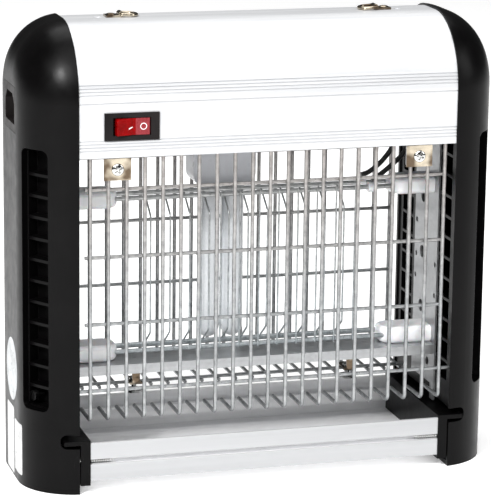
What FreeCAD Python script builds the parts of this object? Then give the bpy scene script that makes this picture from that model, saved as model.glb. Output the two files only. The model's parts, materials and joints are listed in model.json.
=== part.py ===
import FreeCAD, Part
import math
import os

import Sketcher

# Electric insect killer: an aluminium top housing between two black end covers, wire guards front and
# rear, one high-voltage grid in front of a U-shaped lamp, and a pull-out tray below.
# +X runs along the length, +Y to the rear, +Z up. The origin is on the table, midway between the covers.

Vector = FreeCAD.Vector

DIMENSIONS = [
    # alias, millimetres, meaning
    ("cover_outer", 134.0, "middle to the outer flat of an end cover"),
    ("cover_seam", 106.0, "middle to the rim of an end cover"),
    ("cover_half_depth", 48.2, "middle to the front of an end cover"),
    ("cover_top", 255.5, "table to the top of an end cover"),
    ("cover_corner", 41.0, "radius of the arch of an end cover"),
    ("cover_round", 32.0, "radius of the rounded outer edge of an end cover"),
    ("cover_wall", 2.4, "wall of an end cover"),
    ("vent_angle", 34.5, "turn of a side vent from the length, in degrees"),
    ("vent_width", 19.2, "width of a side vent"),
    ("vent_bottom", 45.5, "table to the bottom of a side vent"),
    ("vent_floor", 26.0, "corner axis to the recessed face of a side vent"),
    ("vent_pocket", 7.0, "depth of the blind openings between the rungs of a side vent"),
    ("vent_back", 1.5, "wall behind the blind openings of a side vent"),
    ("vent_corner", 4.0, "corner radius of a side vent"),
    ("vent_pitch", 11.72, "pitch of the rungs in a side vent"),
    ("vent_top", 189.5, "table to the top of a side vent"),
    ("ladder_pitch", 11.8, "pitch of the rungs in a panel vent"),
    ("ladder_rung", 1.7, "height of a rung"),
    ("ladder_steps", 12, "openings in one vent"),
    ("panel_inner", 107.0, "middle to the visible face of an inner side panel"),
    ("panel_wall", 2.0, "thickness of an inner side panel"),
    ("panel_gap", 1.0, "gap between a panel and the cover around it"),
    ("panel_ladder_near", 22.0, "centre plane to the near edge of a panel vent"),
    ("panel_ladder_far", 40.0, "centre plane to the far edge of a panel vent"),
    ("panel_ladder_bottom", 46.8, "table to the lowest opening of a panel vent"),
    ("profile_half_depth", 47.2, "middle to the front of the top profile"),
    ("profile_top", 254.0, "table to the top of the top profile"),
    ("profile_bottom", 185.5, "table to the lower edge of the top profile"),
    ("profile_corner", 39.8, "radius of the arch of the top profile"),
    ("profile_wall", 1.6, "wall of the top profile"),
    ("profile_lip", 2.2, "width of the inward lip of the top profile"),
    ("groove_width", 0.8, "width of a decorative groove"),
    ("groove_depth", 0.5, "depth of a decorative groove"),
    ("groove_low", 189.5, "table to the lowest groove"),
    ("groove_middle", 214.7, "table to the single groove"),
    ("groove_high", 219.1, "table to the first groove of the upper group"),
    ("groove_pitch", 1.75, "pitch of the grooves in a group"),
    ("chassis_wall", 1.0, "thickness of the chassis sheet"),
    ("guard_pitch", 10.0, "pitch of the upright guard wires"),
    ("guard_plane", 44.4, "centre plane to the upright guard wires"),
    ("guard_wire", 1.05, "radius of an upright guard wire"),
    ("guard_bar", 1.0, "radius of a level guard wire"),
    ("guard_bar_top", 167.6, "table to the highest level guard wire"),
    ("guard_bar_step", 37.05, "spacing of the level guard wires"),
    ("guard_bottom", 40.3, "table to the returned ends of the guard wires"),
    ("front_shift", 0.6, "offset of the front guard's upright wires along the length"),
    ("front_return", 23.0, "length of the front guard's returned ends"),
    ("rear_return", 26.5, "length of the rear guard's returned ends"),
    ("guard_bend", 3.0, "bend radius of the returned ends"),
    ("clip_centre", 84.9, "middle to a guard clip"),
    ("clip_half_width", 7.4, "half width of a guard clip"),
    ("clip_bottom", 173.2, "table to the lower edge of a guard clip"),
    ("clip_wall", 1.2, "thickness of a guard clip"),
    ("screw_radius", 1.5, "radius of the small screws"),
    ("screw_hole", 1.7, "radius of the holes for the small screws"),
    ("screw_head", 3.4, "radius of the small screws' pan heads"),
    ("screw_head_rise", 1.4, "height of a pan head"),
    ("strip_front", 21.5, "centre plane to the front edge of a support strip"),
    ("strip_rear", 16.0, "centre plane to the rear edge of a support strip"),
    ("strip_wall", 1.0, "thickness of a support strip"),
    ("strip_bottom", 40.0, "table to the lower edge of a support strip"),
    ("bar_front", 21.5, "centre plane to the front edge of the cross bar"),
    ("bar_rear", 8.5, "centre plane to the rear edge of the cross bar"),
    ("bar_top", 64.0, "table to the top of the cross bar"),
    ("bar_flange", 5.4, "height of the cross bar's flanges"),
    ("bar_wall", 1.2, "thickness of the cross bar"),
    ("upper_insulator_low", 150.6, "table to the underside of an upper insulator"),
    ("insulator_inner", 76.4, "middle to the nose of an insulator"),
    ("short_insulator_inner", 80.8, "middle to the nose of the right upper insulator"),
    ("insulator_front", 15.5, "centre plane to the front of an insulator"),
    ("insulator_rear", 4.2, "centre plane to the rear of an insulator"),
    ("insulator_rise", 9.6, "height of an insulator"),
    ("insulator_nose", 8.0, "radius of the rounded nose of an insulator"),
    ("insulator_edge", 2.8, "radius of the long edges of an insulator"),
    ("rail_radius", 1.3, "radius of the grid rails"),
    ("lead_radius", 1.4, "radius of a high-voltage lead"),
    ("rail_front", 11.5, "centre plane to the front rails, forwards"),
    ("rail_rear", 1.5, "centre plane to the rear rails, backwards"),
    ("rail_end", 91.0, "middle to the end of a rail"),
    ("grid_wire", 0.5, "radius of the grid wires"),
    ("grid_pitch", 11.15, "pitch of the wires of one electrode"),
    ("straight_shift", 3.9, "offset of the straight grid wires along the length"),
    ("bent_shift", -2.6, "offset of the bent grid wires along the length"),
    ("bent_drop", 10.3, "height over which a bent wire comes forward"),
    ("lamp_x", -11.0, "middle to the lamp, along the length"),
    ("lamp_y", 15.0, "centre plane to the lamp, backwards"),
    ("lamp_tube", 6.3, "radius of a lamp tube"),
    ("lamp_spread", 6.9, "lamp axis to a tube axis"),
    ("lamp_bottom", 67.2, "table to the tip of the lamp"),
    ("lamp_base_bottom", 156.0, "table to the bottom of the lamp base"),
    ("lamp_base_top", 189.0, "table to the top of the lamp base"),
    ("lamp_base_half_width", 18.0, "half width of the lamp base"),
    ("lamp_base_half_depth", 8.5, "half depth of the lamp base"),
    ("switch_x", -77.4, "middle to the switch, along the length"),
    ("switch_z", 202.3, "table to the middle of the switch"),
    ("bezel_half_width", 15.0, "half width of the switch bezel"),
    ("bezel_half_height", 7.4, "half height of the switch bezel"),
    ("rocker_half_width", 9.4, "half width of the switch rocker"),
    ("rocker_half_height", 4.5, "half height of the switch rocker"),
    ("rocker_tilt", 8.0, "turn of the rocker each side of its middle, in degrees"),
    ("hinge_plane", 45.0, "centre plane to the rocker's hinge, forwards"),
    ("inlet_y", -1.5, "centre plane to the middle of the mains inlet"),
    ("inlet_z", 207.4, "table to the middle of the mains inlet"),
    ("inlet_half_width", 14.9, "half width of the inlet flange"),
    ("inlet_half_height", 12.4, "half height of the inlet flange"),
    ("hanger_x", 72.6, "middle to a hanging ring's hinge"),
    ("hanger_rise", 1.6, "profile top to a hanging ring's hinge"),
    ("ring_wire", 0.9, "radius of a hanging ring's wire"),
    ("ring_radius", 4.8, "radius of a hanging ring's bow"),
    ("ring_tilt", 3.9, "slope of a hanging ring at rest, in degrees"),
    ("tray_half_length", 100.0, "middle to the end of the tray channel"),
    ("tray_front", 47.2, "centre plane to the front of the tray"),
    ("tray_rear", 44.0, "centre plane to the rear of the tray"),
    ("tray_bottom", 7.0, "table to the underside of the tray channel"),
    ("tray_top", 28.5, "table to the rim of the tray channel"),
    ("tray_wall", 1.5, "wall of the tray channel"),
    ("tray_groove_z", 17.8, "table to the screw channel of the tray"),
    ("tray_end_outer", 105.4, "middle to the outer face of a tray end"),
    ("tray_end_bottom", 4.6, "table to the underside of a tray end"),
    ("tray_flange_outer", 114.5, "middle to the tip of a tray flange"),
    ("tray_flange_low", 27.6, "table to the underside of a tray flange"),
    ("tray_flange_wall", 2.4, "thickness of a tray flange"),
    ("slot_outer", 116.0, "middle to the end of the flange slot in a cover"),
    ("slot_low", 25.6, "table to the bottom of the flange slot"),
    ("slot_high", 33.6, "table to the top of the flange slot"),
    ("slot_round", 3.4, "corner radius of the flange slot"),
]

doc = FreeCAD.newDocument("InsectKiller")
sheet = doc.addObject("Spreadsheet::Sheet", "Sizes")
nodes = []


class Size:
    """A length that knows its value and the spreadsheet formula behind it."""

    def __init__(self, value, formula):
        self.value = float(value)
        self.formula = formula

    def __add__(self, other):
        other = as_size(other)
        return Size(self.value + other.value, f"({self.formula} + {other.formula})")

    def __sub__(self, other):
        other = as_size(other)
        return Size(self.value - other.value, f"({self.formula} - {other.formula})")

    def __mul__(self, other):
        other = as_size(other)
        return Size(self.value * other.value, f"({self.formula} * {other.formula})")

    def __rsub__(self, other):
        return as_size(other) - self

    def __neg__(self):
        return self * -1

    __radd__ = __add__
    __rmul__ = __mul__


def as_size(number):
    return number if isinstance(number, Size) else Size(number, f"({float(number)})")


class Dimensions:
    """The spreadsheet's cells, by alias."""

    def __init__(self, rows):
        for line, (alias, value, meaning) in enumerate(rows, start=1):
            sheet.set(f"A{line}", meaning)
            sheet.set(f"B{line}", str(value))
            sheet.setAlias(f"B{line}", alias)
            setattr(self, alias, Size(value, f"Sizes.{alias}"))


d = Dimensions(DIMENSIONS)
doc.recompute()


# ---- building blocks ---------------------------------------------------------------------------

def bind(item, path, size):
    item.setExpression(path, as_size(size).formula)


def place(item, x, y, z):
    for axis, size in zip("xyz", (x, y, z)):
        bind(item, f"Placement.Base.{axis}", size)


def node(name, item):
    """Names a finished piece and lists it for export."""
    item.Label = name
    nodes.append(item)
    return item


def block(name, x, y, z):
    """A box from a (low, high) pair for each axis."""
    box = doc.addObject("Part::Box", name)
    for side, axis, (low, high) in zip(("Length", "Width", "Height"), "xyz", (x, y, z)):
        bind(box, side, as_size(high) - low)
        bind(box, f"Placement.Base.{axis}", low)
    return box


TURN = {
    "x": FreeCAD.Rotation(Vector(0, 1, 0), 90),
    "y": FreeCAD.Rotation(Vector(1, 0, 0), -90),
    "z": FreeCAD.Rotation(),
}


def rod(name, axis, start, length, radius):
    """A cylinder from start, running the positive way along an axis."""
    item = doc.addObject("Part::Cylinder", name)
    item.Placement = FreeCAD.Placement(Vector(), TURN[axis])
    bind(item, "Radius", radius)
    bind(item, "Height", length)
    place(item, *start)
    return item


def fuse(name, *items):
    item = doc.addObject("Part::MultiFuse", name)
    item.Shapes = list(items)
    return item


def cut(name, base, *tools):
    item = doc.addObject("Part::Cut", name)
    item.Base = base
    item.Tool = tools[0] if len(tools) == 1 else fuse(f"{name}_tools", *tools)
    return item


def mirrored(name, item):
    """The same piece for the other end of the body."""
    twin = doc.addObject("Part::Mirroring", name)
    twin.Source = item
    twin.Normal = Vector(1, 0, 0)
    return twin


def group(name, *items):
    item = doc.addObject("Part::Compound", name)
    item.Links = list(items)
    return item


def shaped(name, shape):
    item = doc.addObject("Part::Feature", name)
    item.Shape = shape
    return item


def origin_plane(body, role):
    return next(f for f in body.Origin.OriginFeatures if getattr(f, "Role", "") == role)


def outline(body, name, role, offset, corners):
    """A closed sketch of straight lines, with every corner bound to its two sizes."""
    sketch = body.newObject("Sketcher::SketchObject", name)
    sketch.AttachmentSupport = (origin_plane(body, role), "")
    sketch.MapMode = "FlatFace"
    bind(sketch, "AttachmentOffset.Base.z", offset)
    corners = [(as_size(u), as_size(v)) for u, v in corners]
    points = [Vector(u.value, v.value, 0) for u, v in corners]
    count = len(points)
    for i in range(count):
        sketch.addGeometry(Part.LineSegment(points[i], points[(i + 1) % count]), False)
    for i in range(count):
        sketch.addConstraint(Sketcher.Constraint("Coincident", i, 2, (i + 1) % count, 1))
    for i, (u, v) in enumerate(corners):
        for kind, size in (("DistanceX", u), ("DistanceY", v)):
            index = sketch.addConstraint(Sketcher.Constraint(kind, -1, 1, i, 1, size.value))
            bind(sketch, f"Constraints[{index}]", size)
    return sketch


def rectangle(low_u, high_u, low_v, high_v):
    return [(low_u, low_v), (high_u, low_v), (high_u, high_v), (low_u, high_v)]


def pad(body, sketch, length):
    item = body.newObject("PartDesign::Pad", f"{sketch.Name}_pad")
    item.Profile = sketch
    bind(item, "Length", length)
    doc.recompute()
    return item


def pocket(body, sketch, length):
    """Cuts along the sketch's normal, and makes sure that something is cut."""
    before = body.Tip.Shape.Volume
    item = body.newObject("PartDesign::Pocket", f"{sketch.Name}_pocket")
    item.Profile = sketch
    item.Reversed = True
    bind(item, "Length", length)
    doc.recompute()
    if item.Shape.Volume >= before:
        raise RuntimeError(f"{item.Name} cuts nothing")
    return item


def fillet(body, name, test, radius):
    """Rounds the edges of the body's tip whose bounding box passes the test."""
    tip = body.Tip
    edges = [f"Edge{i}" for i, edge in enumerate(tip.Shape.Edges, start=1) if test(edge.BoundBox)]
    item = body.newObject("PartDesign::Fillet", name)
    item.Base = (tip, edges)
    bind(item, "Radius", radius)
    doc.recompute()
    return item


def near(a, b):
    return abs(a - b) < 0.01


def along_x(box):
    return box.YLength < 0.01 and box.ZLength < 0.01


def along_y(box):
    return box.XLength < 0.01 and box.ZLength < 0.01


def along_z(box):
    return box.XLength < 0.01 and box.YLength < 0.01


def arch(name, half_depth, bottom, top, corner, x_low, x_high, outer_round=None):
    """An arch-shaped block: upright sides, a flat top and rounded shoulders."""
    body = doc.addObject("PartDesign::Body", name)
    face = outline(body, f"{name}_face", "YZ_Plane", x_low,
                   rectangle(-half_depth, half_depth, bottom, top))
    pad(body, face, x_high - x_low)
    fillet(body, f"{name}_shoulders", lambda b: along_x(b) and near(b.ZMax, top.value), corner)
    if outer_round is not None:
        fillet(body, f"{name}_edge",
               lambda b: near(b.XMin, x_high.value) and near(b.XMax, x_high.value)
               and b.ZMax > bottom.value + 1, outer_round)
    return body


def bent_rod(points, radius, bends):
    """A round wire along straight runs joined by tangent arcs, with one bend radius per corner."""
    edges = []
    start = points[0]
    for before, corner, after, bend in zip(points, points[1:], points[2:], bends):
        back = (before - corner).normalize()
        ahead = (after - corner).normalize()
        half = back.getAngle(ahead) / 2
        reach = bend / math.tan(half)
        middle = (back + ahead).normalize() * (bend / math.sin(half) - bend)
        entry = corner + back * reach
        leave = corner + ahead * reach
        edges += [Part.LineSegment(start, entry).toShape(),
                  Part.Arc(entry, corner + middle, leave).toShape()]
        start = leave
    edges.append(Part.LineSegment(start, points[-1]).toShape())
    path = Part.Wire(edges)
    ring = Part.Wire([Part.makeCircle(radius, points[0], points[1] - points[0])])
    swept = path.makePipeShell([ring], True, False)
    expected = math.pi * radius ** 2 * path.Length
    if abs(swept.Volume / expected - 1) > 0.01:
        raise RuntimeError("a wire's volume isn't its section times its length")
    return swept


def easy_bends(points):
    """For each corner, the largest bend that nearly meets its neighbours halfway along the runs."""
    bends = []
    for before, corner, after in zip(points, points[1:], points[2:]):
        turn = math.pi - (before - corner).getAngle(after - corner)
        run = min((before - corner).Length, (after - corner).Length)
        bends.append(0.45 * run / math.tan(turn / 2))
    return bends


def straight_rod(start, end, radius):
    run = end - start
    return Part.makeCylinder(radius, run.Length, start, run)


def welded(shapes):
    joined = shapes[0].multiFuse(shapes[1:])
    if len(joined.Solids) != 1:
        raise RuntimeError("welded wires don't make one solid")
    return joined.Solids[0]


def shared_positions(pitch, count, shift=0.0):
    """Positions at a pitch, centred on shift."""
    return [shift + pitch * (i - (count - 1) / 2) for i in range(count)]


# ---- end covers and side panels ----------------------------------------------------------------

def vent_box(name, half_width, low, high, near_r, far_r, turn):
    """A box that points out of a cover's upright rounded corner, at an angle to the length."""
    box = doc.addObject("Part::Box", name)
    bind(box, "Length", far_r - near_r)
    bind(box, "Width", half_width * 2)
    bind(box, "Height", high - low)
    angle = math.radians(turn.value)
    box.Placement = FreeCAD.Placement(Vector(), FreeCAD.Rotation(Vector(0, 0, 1), turn.value))
    axis_x = d.cover_outer - d.cover_round
    side = 1 if turn.value > 0 else -1
    axis_y = (d.cover_half_depth - d.cover_round) * side
    place(box,
          axis_x + near_r * math.cos(angle) + half_width * math.sin(angle),
          axis_y + near_r * math.sin(angle) - half_width * math.cos(angle),
          low)
    return box


def vent_tools(name, turn):
    """One side vent: the block left standing inside, the recess, and the blind openings between rungs."""
    half = d.vent_width * 0.5
    outer_r = d.cover_round + 8
    pocket_r = d.vent_floor - d.vent_pocket
    frame = vent_box(f"{name}_frame", half + 1.8, d.vent_bottom - 1.8, d.vent_top + 1.8,
                     pocket_r - d.vent_back, outer_r, turn)
    recess = doc.addObject("Part::Fillet", f"{name}_recess")
    recess.Base = vent_box(f"{name}_void", half, d.vent_bottom, d.vent_top, d.vent_floor, outer_r, turn)
    doc.recompute()
    corners = [i for i, edge in enumerate(recess.Base.Shape.Edges, start=1)
               if near(edge.Length, (outer_r - d.vent_floor).value)]
    recess.Edges = [(i, d.vent_corner.value, d.vent_corner.value) for i in corners]
    openings = []
    steps = int(d.ladder_steps.value)
    for i in range(steps):
        low = d.vent_bottom + d.vent_pitch * i + d.ladder_rung * 0.5
        high = d.vent_bottom + d.vent_pitch * (i + 1) - d.ladder_rung * 0.5
        if i == steps - 1:
            high = d.vent_top - 0.9
        openings.append(vent_box(f"{name}_opening_{i}", half - 0.6, low, high,
                                 pocket_r, d.vent_floor + 1, turn))
    return frame, recess, openings


def slot_block(name, y_low, y_high):
    """The flange slot, with its outer end rounded."""
    body = doc.addObject("PartDesign::Body", name)
    face = outline(body, f"{name}_face", "XZ_Plane", -y_high,
                   rectangle(d.cover_seam - 5, d.slot_outer, d.slot_low, d.slot_high))
    pad(body, face, as_size(y_high) - y_low)
    fillet(body, f"{name}_round", lambda b: along_y(b) and near(b.XMax, d.slot_outer.value), d.slot_round)
    return body


def right_cover():
    outer = arch("cover_outside", d.cover_half_depth, as_size(0), d.cover_top, d.cover_corner,
                 d.cover_seam - 16, d.cover_outer, d.cover_round)
    inner = arch("cover_inside", d.cover_half_depth - d.cover_wall, d.cover_wall,
                 d.cover_top - d.cover_wall, d.cover_corner - d.cover_wall, d.cover_seam - 18,
                 d.cover_outer - d.cover_wall, d.cover_round - d.cover_wall)
    front_frame, front_recess, front_openings = vent_tools("front_vent", -d.vent_angle)
    rear_frame, rear_recess, rear_openings = vent_tools("rear_vent", d.vent_angle)
    hollow = cut("cover_hollow", inner, front_frame, rear_frame)
    trim = block("cover_trim", (0, d.cover_seam), (-60, 60), (-5, d.cover_top + 5))
    slot = slot_block("cover_slot", -d.cover_half_depth - 2, -d.cover_half_depth + d.cover_wall + 4.4)
    return cut("cover_shell", outer, hollow, trim, slot, front_recess, rear_recess,
               *front_openings, *rear_openings)


def left_cover(right):
    """The right cover mirrored, with the mains inlet's opening and sunk seat."""
    twin = mirrored("left_cover_shell", right)
    opening = block("inlet_opening", (-d.cover_outer - 2, -d.cover_outer + 8),
                    (d.inlet_y - 14.2, d.inlet_y + 14.2), (d.inlet_z - 10.2, d.inlet_z + 10.2))
    seat = block("inlet_seat", (-d.cover_outer - 2, -d.cover_outer + 1.5),
                 (d.inlet_y - d.inlet_half_width - 0.1, d.inlet_y + d.inlet_half_width + 0.1),
                 (d.inlet_z - d.inlet_half_height - 0.1, d.inlet_z + d.inlet_half_height + 0.1))
    return cut("left_cover_cut", twin, opening, seat)


def right_panel():
    """Inner side panel: a ladder vent at the front and the rear, and the tray's flange slot."""
    inset = d.cover_wall + d.panel_gap
    body = arch("panel_blank", d.cover_half_depth - inset, inset, d.cover_top - inset,
                d.cover_corner - inset, d.panel_inner, d.panel_inner + d.panel_wall)
    depth = d.panel_wall + 2
    low = d.panel_ladder_bottom + d.ladder_rung * 0.5
    high = d.panel_ladder_bottom + d.ladder_pitch - d.ladder_rung * 0.5
    for name, near_y, far_y in (("front", -d.panel_ladder_far, -d.panel_ladder_near),
                                ("rear", d.panel_ladder_near, d.panel_ladder_far)):
        gap = outline(body, f"panel_{name}_gap", "YZ_Plane", d.panel_inner - 1,
                      rectangle(near_y, far_y, low, high))
        opening = pocket(body, gap, depth)
        ladder = body.newObject("PartDesign::LinearPattern", f"panel_{name}_ladder")
        ladder.Originals = [opening]
        ladder.Direction = (origin_plane(body, "Z_Axis"), [""])
        bind(ladder, "Length", d.ladder_pitch * (d.ladder_steps - 1))
        ladder.Occurrences = int(d.ladder_steps.value)
        body.Tip = ladder
        doc.recompute()
    slot = outline(body, "panel_slot", "YZ_Plane", d.panel_inner - 1,
                   rectangle(-d.cover_half_depth - 1, d.tray_rear - 2, d.slot_low, d.slot_high))
    pocket(body, slot, depth)
    bar_y = d.guard_plane - d.guard_wire - d.guard_bar + 0.2
    bar_z = d.guard_bar_top - d.guard_bar_step * 3
    holes = [rod(f"panel_hole_{n}", "x", (d.panel_inner - 1, bar_y * n, bar_z), depth, d.guard_bar + 0.3)
             for n in (-1, 1)]
    lead_hole = rod("panel_lead_hole", "x", (d.panel_inner - 1, d.inlet_y, d.inlet_z), depth, 9)
    return cut("panel_cut", body, lead_hole, *holes)


def tray_guide(name):
    """Ledge inside a cover that carries the tray's flange, with an end stop."""
    along = (d.panel_inner + d.panel_wall, d.slot_outer + 1)
    reach = d.tray_rear - 3
    ledge_top = d.tray_flange_low - 0.3
    ledge = block(name, along, (-reach, reach), (ledge_top - 3, ledge_top))
    stop = block(f"{name}_stop", along, (reach - 1.7, reach), (ledge_top - 1, ledge_top + 5))
    return fuse(f"{name}_rail", ledge, stop)


def cover_screws():
    """Four screws in the lowest openings of the side vents."""
    screws = []
    axis = d.cover_outer - d.cover_round
    for x_way in (-1, 1):
        for y_way in (-1, 1):
            turn = math.radians(22.0)
            radial = Vector(x_way * math.cos(turn), y_way * math.sin(turn), 0)
            origin = Vector(x_way * axis.value, y_way * (d.cover_half_depth - d.cover_round).value,
                            d.vent_bottom.value + 6.0)
            face = d.vent_floor.value
            head = straight_rod(origin + radial * (face - 1.2), origin + radial * (face + 1.4), 2.9)
            shank = straight_rod(origin + radial * (face - 6.2), origin + radial * (face - 1.2), 1.4)
            screws.append(head.fuse(shank))
    return shaped("cover_screw_shapes", Part.makeCompound(screws))


# ---- top housing -------------------------------------------------------------------------------

def groove_heights():
    lower = [d.groove_low + d.groove_pitch * i for i in range(4)]
    upper = [d.groove_high + d.groove_pitch * i for i in range(4)]
    return lower + [d.groove_middle] + upper


def top_profile():
    """Extruded arch with an inward lip, fine grooves front and rear, and cut-outs."""
    end = d.cover_seam - 0.1
    outer = arch("profile_outside", d.profile_half_depth, d.profile_bottom, d.profile_top,
                 d.profile_corner, -end, end)
    inner = arch("profile_inside", d.profile_half_depth - d.profile_wall, d.profile_bottom - 2,
                 d.profile_top - d.profile_wall, d.profile_corner - d.profile_wall, -end - 1, end + 1)
    lips = [block(f"profile_lip_{way}",
                  (-end, end),
                  sorted_pair(way, d.profile_half_depth - d.profile_wall - d.profile_lip,
                              d.profile_half_depth - d.profile_wall + 0.4),
                  (d.profile_bottom, d.profile_bottom + 1.4)) for way in (-1, 1)]
    core = arch("groove_core", d.profile_half_depth - d.groove_depth, d.profile_bottom - 3,
                d.profile_top - d.groove_depth, d.profile_corner - d.groove_depth, -end - 2, end + 2)
    bands = [block(f"groove_{i}", (-end - 1, end + 1), (-60, 60),
                   (z - d.groove_width * 0.5, z + d.groove_width * 0.5))
             for i, z in enumerate(groove_heights())]
    grooves = cut("profile_grooves", fuse("groove_bands", *bands), core)
    window = block("switch_window", (d.switch_x - 11.3, d.switch_x + 11.3), (-60, -30),
                   (d.switch_z - 6.5, d.switch_z + 6.5))
    rivet_holes = [rod(f"rivet_hole_{way}", "z", ((d.hanger_x + 5.4) * way, 0, d.profile_top - 5), 10, 1.6)
                   for way in (-1, 1)]
    dimples = [rod(f"dimple_{way}", "z", ((d.hanger_x + 13.0) * way, -1, d.profile_top - 0.7), 2, 1.9)
               for way in (-1, 1)]
    shell = cut("profile_shell", outer, inner)
    return cut("profile_cut", fuse("profile_lipped", shell, *lips), grooves, window, *rivet_holes, *dimples)


def sorted_pair(way, near_size, far_size):
    """A (low, high) pair on one side of the centre plane."""
    return (near_size, far_size) if way > 0 else (-far_size, -near_size)


def chassis_plate():
    level = d.profile_bottom + 1.4
    half = d.profile_half_depth - d.profile_wall - 0.2
    plate = block("chassis_blank", (-105, 105), (-half, half), (level, level + d.chassis_wall))
    half_width = d.lamp_base_half_width + 1
    lamp_hole = block("lamp_hole", (d.lamp_x - half_width, d.lamp_x + half_width),
                      (d.lamp_y - d.lamp_base_half_depth - 1, d.lamp_y + d.lamp_base_half_depth + 1),
                      (level - 2, level + 3))
    lead_hole = block("lead_hole", (84, 98), (-11, 9), (level - 2, level + 3))
    return cut("chassis_cut", plate, lamp_hole, lead_hole)


# ---- guards and their clips --------------------------------------------------------------------

def guard(way):
    """Welded wire guard: upright wires returned inwards at the bottom, with level wires behind."""
    y = d.guard_plane.value * way
    inward = -way
    top = d.profile_bottom.value - 0.3
    low = d.guard_bottom.value
    reach_in = d.front_return.value if way < 0 else d.rear_return.value
    shift = d.front_shift.value if way < 0 else 0.0
    inner_y = y + inward * reach_in
    step = d.guard_wire.value + d.guard_bar.value - 0.2
    wires = []
    for x in shared_positions(d.guard_pitch.value, 21, shift):
        path = [Vector(x, y, top), Vector(x, y, low), Vector(x, inner_y, low)]
        wires.append(bent_rod(path, d.guard_wire.value, [d.guard_bend.value]))
    for i in range(4):
        z = d.guard_bar_top.value - i * d.guard_bar_step.value
        reach = d.panel_inner.value + 1.4 if i == 3 else 102.0
        bar_y = y + inward * step
        wires.append(straight_rod(Vector(-reach, bar_y, z), Vector(reach, bar_y, z), d.guard_bar.value))
    if way > 0:
        end_y = inner_y - inward * 1.2
        wires.append(straight_rod(Vector(-102, end_y, low + step), Vector(102, end_y, low + step),
                                  d.guard_bar.value))
    return shaped("guard_shape", welded(wires))


def clip_places():
    return [(x_way, y_way) for y_way in (-1, 1) for x_way in (-1, 1)]


def clip_screw_z():
    return d.clip_bottom + 5.8


def guard_clip(x_way, y_way):
    """Square plate that holds two guard wires from the outside."""
    outside = d.guard_plane + d.guard_wire
    centre = d.clip_centre * x_way
    plate = block(f"clip_plate_{x_way}_{y_way}", (centre - d.clip_half_width, centre + d.clip_half_width),
                  sorted_pair(y_way, outside, outside + d.clip_wall),
                  (d.clip_bottom, d.profile_bottom - 0.4))
    hole = rod(f"clip_hole_{x_way}_{y_way}", "y",
               (centre, sorted_pair(y_way, outside - 2, outside + 4)[0], clip_screw_z()), 6, d.screw_hole)
    return cut(f"clip_{x_way}_{y_way}", plate, hole)


def clip_bracket(x_way, y_way):
    """Tab that hangs from the chassis behind the guard and takes the clip's screw."""
    inside = d.guard_plane - d.guard_wire - 0.1
    centre = d.clip_centre * x_way
    tab = block(f"bracket_tab_{x_way}_{y_way}",
                (centre - d.clip_half_width + 1, centre + d.clip_half_width - 1),
                sorted_pair(y_way, inside - d.clip_wall, inside),
                (d.clip_bottom + 0.5, d.profile_bottom + 1.4))
    foot = block(f"bracket_foot_{x_way}_{y_way}",
                 (centre - d.clip_half_width + 1, centre + d.clip_half_width - 1),
                 sorted_pair(y_way, inside - 10, inside), (d.profile_bottom + 0.2, d.profile_bottom + 1.4))
    hole = rod(f"bracket_hole_{x_way}_{y_way}", "y",
               (centre, sorted_pair(y_way, inside - 4, inside + 2)[0], clip_screw_z()), 6, d.screw_hole)
    return cut(f"bracket_{x_way}_{y_way}", fuse(f"bracket_blank_{x_way}_{y_way}", tab, foot), hole)


def pan_screw(name, x, face, way, z, length):
    """Pan-head screw driven inwards from a face; way is the side that its head is on."""
    head = rod(f"{name}_head", "y",
               (x, sorted_pair(way, face, face + d.screw_head_rise)[0], z), d.screw_head_rise, d.screw_head)
    shank = rod(f"{name}_shank", "y", (x, sorted_pair(way, face - length, face + 0.2)[0], z),
                as_size(length) + 0.2, d.screw_radius)
    cross = [block(f"{name}_slot_{i}", (x - a, x + a),
                   sorted_pair(way, face + 0.6, face + d.screw_head_rise + 1), (z - b, z + b))
             for i, (a, b) in enumerate(((1.8, 0.35), (0.35, 1.8)))]
    return cut(name, fuse(f"{name}_blank", head, shank), *cross)


def clip_screws():
    face = d.guard_plane + d.guard_wire + d.clip_wall
    return group("clip_screw_group", *[
        pan_screw(f"clip_screw_{x_way}_{y_way}", d.clip_centre * x_way, face, y_way, clip_screw_z(), 8)
        for x_way, y_way in clip_places()])


RETURN_CLIP_X = (-61, 66)
RETURN_SCREW_Y = 14.5


def return_clips():
    """Two small angles that hold the rear guard's returned ends up to the cross bar."""
    clips = []
    foot_low = d.guard_bottom + d.guard_wire + d.guard_bar * 2
    for x in RETURN_CLIP_X:
        upright = block(f"return_upright_{x}", (x - 2.2, x + 2.2), (d.bar_rear, d.bar_rear + d.clip_wall),
                        (foot_low, d.bar_top - 0.4))
        foot = block(f"return_foot_{x}", (x - 3.6, x + 3.6), (d.bar_rear, 23),
                     (foot_low, foot_low + d.clip_wall))
        hole = rod(f"return_hole_{x}", "z", (x, RETURN_SCREW_Y, foot_low - 1), 4, d.screw_hole)
        clips.append(cut(f"return_clip_{x}", fuse(f"return_blank_{x}", upright, foot), hole))
    return group("return_clip_group", *clips)


def return_clip_screws():
    """Screws with a broad lower washer, which clamp the returned ends against the clips."""
    face = d.guard_bottom + d.guard_wire + d.guard_bar * 2 + d.clip_wall
    under = d.guard_bottom - d.guard_wire - 0.1
    screws = []
    for x in RETURN_CLIP_X:
        head = rod(f"return_head_{x}", "z", (x, RETURN_SCREW_Y, face), 1.4, 2.6)
        shank = rod(f"return_shank_{x}", "z", (x, RETURN_SCREW_Y, under - 1.5),
                    face - under + 1.6, d.screw_radius)
        washer = rod(f"return_washer_{x}", "z", (x, RETURN_SCREW_Y, under - 1.1), 1.1, 5.4)
        screws.append(fuse(f"return_screw_{x}", head, shank, washer))
    return group("return_screw_group", *screws)


# ---- grid, insulators and their supports -------------------------------------------------------

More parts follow.
